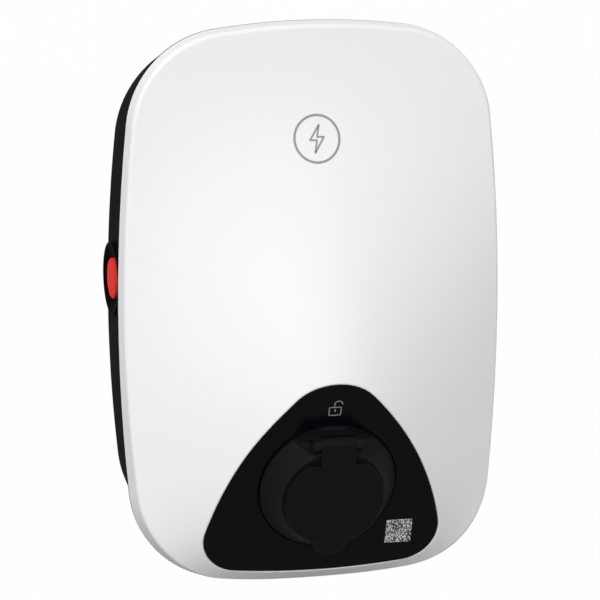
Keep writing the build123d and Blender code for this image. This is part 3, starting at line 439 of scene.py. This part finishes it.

# %% [markdown]
# The black pieces differ by grain: the tray is coarsely etched, the triangular panel is polished,
# the socket and its lid are finely etched, and the ring round the button is the darkest, its black
# partly painted shade for the shadow in its dished face. One black for all would lose their edges.

# %% Black mouldings
moulded(
    "housing_black", colour=(0.008, 0.0078, 0.009), worn=(0.035, 0.035, 0.035),
    roughness=(0.62, 0.74), grain=(1400, 0.00003), specular=0.004,
)
moulded(
    "panel_gloss_black", colour=(0.0026, 0.0026, 0.0042), worn=(0.01, 0.01, 0.011),
    roughness=(0.2, 0.28), grain=(300, 0.000002), specular=0.045,
)
moulded(
    "socket_black", colour=(0.0058, 0.0058, 0.0066), worn=(0.02, 0.02, 0.021),
    roughness=(0.44, 0.54), grain=(1600, 0.00002), specular=0.06,
)
moulded(
    "lid_black", colour=(0.0034, 0.0034, 0.0048), worn=(0.014, 0.014, 0.015),
    roughness=(0.44, 0.54), grain=(1900, 0.00002), specular=0.06,
)
# The ring is black plastic. Its near-black colour and almost no specular are also painted shade
# that keeps the whole ring as dark as the shadow in its dished face.
moulded(
    "bezel_black", colour=(0.003, 0.0028, 0.003), worn=(0.02, 0.02, 0.021), roughness=(0.36, 0.44),
    grain=(1700, 0.00001), specular=0.001,
)

# %% [markdown]
# The modules behind the shell are plain moulded cases. They are seen only when the model is taken
# apart, so they get the common plan with their own colours and a coarser grain.

# %% Cases inside
moulded(
    "module_black", colour=(0.03, 0.03, 0.033), worn=(0.08, 0.08, 0.085), roughness=(0.45, 0.6),
    grain=(1200, 0.00003), specular=0.3,
)
moulded(
    "relay_white", colour=(0.75, 0.75, 0.72), worn=(0.85, 0.85, 0.83), roughness=(0.4, 0.5),
    grain=(1300, 0.00001), specular=0.4,
)
moulded(
    "terminal_grey", colour=(0.3, 0.31, 0.33), worn=(0.42, 0.43, 0.45), roughness=(0.4, 0.52),
    grain=(1300, 0.00002), specular=0.4,
)

# %% [markdown]
# Rubber is dull and grainy, wire insulation is smoother, and the light guide is a frosted clear
# moulding. A glass shader would suit the guide, but it lies behind the panel, so a pale satin
# plastic is enough.

# %% Rubber, leads and light guide
moulded(
    "seal_rubber", colour=(0.02, 0.02, 0.02), worn=(0.05, 0.05, 0.05), roughness=(0.7, 0.85),
    grain=(2500, 0.00003), specular=0.2,
)
moulded(
    "lead_insulation", colour=(0.03, 0.035, 0.3), worn=(0.08, 0.09, 0.4), roughness=(0.35, 0.45),
    grain=(900, 0.000008), specular=0.4,
)
moulded(
    "light_guide", colour=(0.75, 0.77, 0.8), worn=(0.85, 0.86, 0.88), roughness=(0.3, 0.4),
    grain=(1800, 0.00001), specular=0.5,
)

# %% [markdown]
# Screws and springs are bare steel, the hinge pin and the lock bolt are blackened, and the
# contacts are silvered brass. Metal takes its look from what it reflects, so the roughness
# matters more here than the colour.

# %% Metals
moulded(
    "screw_steel", colour=(0.6, 0.6, 0.62), worn=(0.75, 0.75, 0.76), roughness=(0.28, 0.45),
    grain=(2600, 0.00001), specular=0.5, wear=0.5, metallic=1.0,
)
moulded(
    "pin_steel", colour=(0.05, 0.05, 0.054), worn=(0.2, 0.2, 0.21), roughness=(0.4, 0.5),
    grain=(3000, 0.000005), specular=0.5, wear=0.4, metallic=1.0,
)
moulded(
    "spring_steel", colour=(0.5, 0.5, 0.52), worn=(0.66, 0.66, 0.67), roughness=(0.25, 0.35),
    grain=(2800, 0.000005), specular=0.5, wear=0.4, metallic=1.0,
)
moulded(
    "contact_brass", colour=(0.72, 0.58, 0.3), worn=(0.82, 0.72, 0.5), roughness=(0.22, 0.34),
    grain=(2400, 0.000006), specular=0.5, wear=0.4, metallic=1.0,
)
moulded(
    "module_metal", colour=(0.7, 0.7, 0.72), worn=(0.8, 0.8, 0.81), roughness=(0.3, 0.42),
    grain=(2400, 0.000006), specular=0.5, wear=0.4, metallic=1.0,
)

# %% [markdown]
# The circuit boards are green lacquer over copper, and the tracks show as slightly paler lines. A
# drawn layout would be lost behind the shell, so the lines are the joints of a brick pattern a
# few millimetres in size.

# %% Circuit board
track_pitch = 250
track_width = 0.06
track_height = 0.00004
lacquer_low, lacquer_high = 0.25, 0.36
lacquer_first = (0.02, 0.17, 0.07, 1)
lacquer_second = (0.025, 0.2, 0.08, 1)
lacquer_track = (0.05, 0.32, 0.13, 1)

board_green, board_tree, board_shader = new_material("board_green")
tracks = node(
    board_tree,
    "ShaderNodeTexBrick",
    Color1=lacquer_first,
    Color2=lacquer_second,
    Mortar=lacquer_track,
    Scale=track_pitch,
    Mortar_Size=track_width,
)
flat_place = board_tree.nodes.new("ShaderNodeTexCoord")
flat_axes = board_tree.nodes.new("ShaderNodeMapping")
flat_axes.inputs["Rotation"].default_value = (math.radians(90), 0, 0)
track_bump = board_tree.nodes.new("ShaderNodeBump")
track_bump.inputs["Distance"].default_value = track_height
board_haze = placed_group(board_tree, haze_group, Low=lacquer_low, High=lacquer_high)
board_tree.links.new(flat_place.outputs["Object"], flat_axes.inputs["Vector"])
board_tree.links.new(flat_axes.outputs["Vector"], tracks.inputs["Vector"])
board_tree.links.new(tracks.outputs["Color"], board_shader.inputs["Base Color"])
board_tree.links.new(tracks.outputs["Fac"], track_bump.inputs["Height"])
board_tree.links.new(track_bump.outputs["Normal"], board_shader.inputs["Normal"])
board_tree.links.new(board_haze.outputs["Roughness"], board_shader.inputs["Roughness"])
print("finish:", board_green.name)

# %% [markdown]
# The square label is pale film with a fine grey print. Its pattern is a field of small random
# squares made by white noise on rounded coordinates. It says nothing and can't be read.

# %% Label
label_cell = 0.00075
label_light_share = 0.4
film_low, film_high = 0.4, 0.5
label_paper = (0.72, 0.72, 0.73, 1)
label_ink = (0.05, 0.05, 0.053, 1)

label_low, label_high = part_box("label_plate")
label_print, label_tree, label_shader = new_material("label_print")
label_place = label_tree.nodes.new("ShaderNodeTexCoord")
label_grid = label_tree.nodes.new("ShaderNodeVectorMath")
label_grid.operation = "SNAP"
label_grid.inputs[1].default_value = (label_cell, 1, label_cell)
label_noise = label_tree.nodes.new("ShaderNodeTexWhiteNoise")
label_dark = label_tree.nodes.new("ShaderNodeMath")
label_dark.operation = "GREATER_THAN"
label_dark.inputs[1].default_value = label_light_share
label_mix = label_tree.nodes.new("ShaderNodeMix")
label_mix.data_type = "RGBA"
label_mix.inputs["A"].default_value = label_paper
label_mix.inputs["B"].default_value = label_ink
label_haze = placed_group(label_tree, haze_group, Low=film_low, High=film_high)
label_tree.links.new(label_place.outputs["Object"], label_grid.inputs[0])
label_tree.links.new(label_grid.outputs["Vector"], label_noise.inputs["Vector"])
label_tree.links.new(label_noise.outputs["Value"], label_dark.inputs[0])
label_tree.links.new(label_dark.outputs[0], label_mix.inputs["Factor"])
label_tree.links.new(label_mix.outputs["Result"], label_shader.inputs["Base Color"])
label_tree.links.new(label_haze.outputs["Roughness"], label_shader.inputs["Roughness"])
print("finish:", label_print.name, "on", tuple(label_low), tuple(label_high))

# %% [markdown]
# ## Dressing the CAD nodes
# The record names a material slot for every node, and each finish above bears the name of its
# slot. So one loop dresses the whole model.

# %% Dress the nodes
slot_of = {part["node"]: part["material_slot"] for part in frame["record"]["subparts"]}
for name, piece in nodes.items():
    piece.data.materials.clear()
    piece.data.materials.append(finishes[slot_of[name]])
print("dressed", len(nodes), "nodes with", len(finishes), "finishes")

# %% [markdown]
# ## Spring under the button
# The button rests on a coil spring that shortens by three millimetres when it is pressed. A CAD
# node is never changed, so a copy of the coil stands for it, fixed to the charger body, and the
# original coil is hidden.

coil = bpy.data.objects.new("button_coil", nodes["button_spring"].data.copy())
bpy.context.scene.collection.objects.link(coil)
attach(coil, "charger")
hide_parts("button_spring")
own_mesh(coil)

# %% [markdown]
# ## Printed signs
# The real shell carries a small grey sign near its top, and the panel a thin padlock over the
# socket. Both are pad prints: flat ink that follows the surface. A decal in the material would
# need coordinates laid over the whole shell, so they are cut as flat ribbons of small faces
# instead. Each point is then dropped onto the surface below it, with a hair of clearance so that
# the two don't flicker.

# %% Print helpers
ink_lift = 0.00008
drop_start = 0.2


def surface_of(name):
    """Search tree over a node's mesh, in world coordinates."""
    mesh = nodes[name].data
    corners = [v.co.copy() for v in mesh.vertices]
    return BVHTree.FromPolygons(corners, [tuple(p.vertices) for p in mesh.polygons])


def ribbon(points, width, closed=False):
    """Flat strip of quads of the given width along a line of 2-D points."""
    count = len(points)
    left, right = [], []
    for i, point in enumerate(points):
        before = points[(i - 1) % count] if closed or i else point
        after = points[(i + 1) % count] if closed or i < count - 1 else point
        run = (after - before).normalized()
        side = Vector((-run.y, run.x)) * (width / 2)
        left.append(point + side)
        right.append(point - side)
    last = count if closed else count - 1
    faces = [(i, (i + 1) % count, (i + 1) % count + count, i + count) for i in range(last)]
    return left + right, faces


def stepped(points, step):
    """The same line with extra points, none further apart than the step."""
    made = []
    for start, end in zip(points, points[1:]):
        parts = max(1, math.ceil((end - start).length / step))
        made += [start.lerp(end, i / parts) for i in range(parts)]
    return made + [points[-1]]


def arc(centre, radius, first, last, count):
    """Points on a circle from the first angle to the last, in degrees."""
    turns = [math.radians(first + (last - first) * i / count) for i in range(count + 1)]
    return [centre + radius * Vector((math.cos(t), math.sin(t))) for t in turns]


def printed(name, shapes, origin, across, up, surface, ink):
    """Flat shapes dropped onto a surface along its own facing, as one inked piece."""
    facing = across.cross(up).normalized()
    build = bmesh.new()
    for points, faces in shapes:
        made = []
        for point in points:
            start = origin + across * point.x + up * point.y + facing * drop_start
            hit = surface.ray_cast(start, -facing)[0]
            made.append(build.verts.new(hit + facing * ink_lift))
        for face in faces:
            build.faces.new([made[i] for i in face])
    bmesh.ops.recalc_face_normals(build, faces=build.faces)
    for face in build.faces:
        if face.normal.dot(facing) < 0:
            face.normal_flip()
    mesh = bpy.data.meshes.new(name)
    build.to_mesh(mesh)
    build.free()
    piece = bpy.data.objects.new(name, mesh)
    bpy.context.scene.collection.objects.link(piece)
    mesh.materials.append(ink)
    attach(piece, "charger")
    print(name, "with", len(mesh.polygons), "faces")
    return piece


# %% [markdown]
# Pad print ink is thin and matte. The sign on the white shell is a mid grey, and the one on the
# black panel only looks pale because of what surrounds it.

# %% Inks
moulded(
    "ink_grey", colour=(0.32, 0.32, 0.33), worn=(0.4, 0.4, 0.4), roughness=(0.4, 0.5),
    grain=(2600, 0.000004), specular=0.3,
)
moulded(
    "ink_pale", colour=(0.3, 0.3, 0.3), worn=(0.4, 0.4, 0.4), roughness=(0.4, 0.5),
    grain=(2600, 0.000004), specular=0.3,
)

# %% [markdown]
# The sign near the top tells what the box is for. A plain bolt in a ring stands there, drawn as
# two closed ribbons: a circle of short steps, and six straight runs stepped finely enough to
# follow the dome.

# %% Charging sign on the shell
sign_height = 0.122
sign_depth = 0.14
sign_radius = 0.0165
sign_line = 0.0017
bolt_half = 0.0052
bolt_reach = 0.0098
bolt_step = 0.0006
bolt_tip_share = 0.35
bolt_left_share = -0.1
bolt_right_share = 0.12
bolt_line_share = 0.8
ring_steps = 72
ring_last = 360 * (ring_steps - 1) / ring_steps
sign_place = Vector((0, -sign_depth, sign_height))

ring_line = arc(Vector((0, 0)), sign_radius, 0, ring_last, ring_steps - 1)
sign_ring = ribbon(ring_line, sign_line, closed=True)
bolt_corners = [
    Vector((bolt_tip_share * bolt_half, bolt_reach)),
    Vector((-bolt_half, bolt_left_share * bolt_reach)),
    Vector((0, bolt_left_share * bolt_reach)),
    Vector((-bolt_tip_share * bolt_half, -bolt_reach)),
    Vector((bolt_half, bolt_right_share * bolt_reach)),
    Vector((0, bolt_right_share * bolt_reach)),
    Vector((bolt_tip_share * bolt_half, bolt_reach)),
]
bolt_line = stepped(bolt_corners, bolt_step)[:-1]
sign_bolt = ribbon(bolt_line, sign_line * bolt_line_share, closed=True)
printed(
    "charging_sign",
    [sign_ring, sign_bolt],
    sign_place,
    Vector((1, 0, 0)),
    Vector((0, 0, 1)),
    surface_of("front_shell"),
    finishes["ink_grey"],
)

# %% [markdown]
# The padlock over the socket says that the plug is locked in while the car charges. It is placed
# from the light guide behind it, in the plane of the tilted panel, and made of three ribbons:
# body, open shackle and keyhole.

# %% Padlock sign on the panel
panel_low, panel_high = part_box("lock_light_guide")
panel_centre = (panel_low + panel_high) / 2
panel_tilt = math.radians(19.3)
panel_up = Vector((0, -math.sin(panel_tilt), math.cos(panel_tilt)))
padlock_line = 0.0007
padlock_half = 0.0043
padlock_drop = 0.0052
padlock_top = 0.0012
shackle_radius = 0.0029
shackle_shift = 0.0022
shackle_rise = 0.0022
shackle_steps = 16
keyhole_low_share = -0.45
keyhole_high_share = -0.05
keyhole_line_share = 1.2
sign_drop = 0.0016

body_corners = [
    Vector((-padlock_half, -padlock_drop)),
    Vector((padlock_half, -padlock_drop)),
    Vector((padlock_half, padlock_top)),
    Vector((-padlock_half, padlock_top)),
    Vector((-padlock_half, -padlock_drop)),
]
padlock_body = ribbon(stepped(body_corners, padlock_half)[:-1], padlock_line, closed=True)
shackle_centre = Vector((shackle_shift, padlock_top + shackle_rise))
shackle = [Vector((shackle_centre.x - shackle_radius, padlock_top))]
shackle += arc(shackle_centre, shackle_radius, 180, 0, shackle_steps)
padlock_shackle = ribbon(shackle, padlock_line)
keyhole_low = Vector((0, keyhole_low_share * padlock_drop))
keyhole_high = Vector((0, keyhole_high_share * padlock_drop))
keyhole = ribbon([keyhole_low, keyhole_high], padlock_line * keyhole_line_share)
printed(
    "padlock_sign",
    [padlock_body, padlock_shackle, keyhole],
    panel_centre - sign_drop * panel_up,
    Vector((1, 0, 0)),
    panel_up,
    surface_of("socket_panel"),
    finishes["ink_pale"],
)
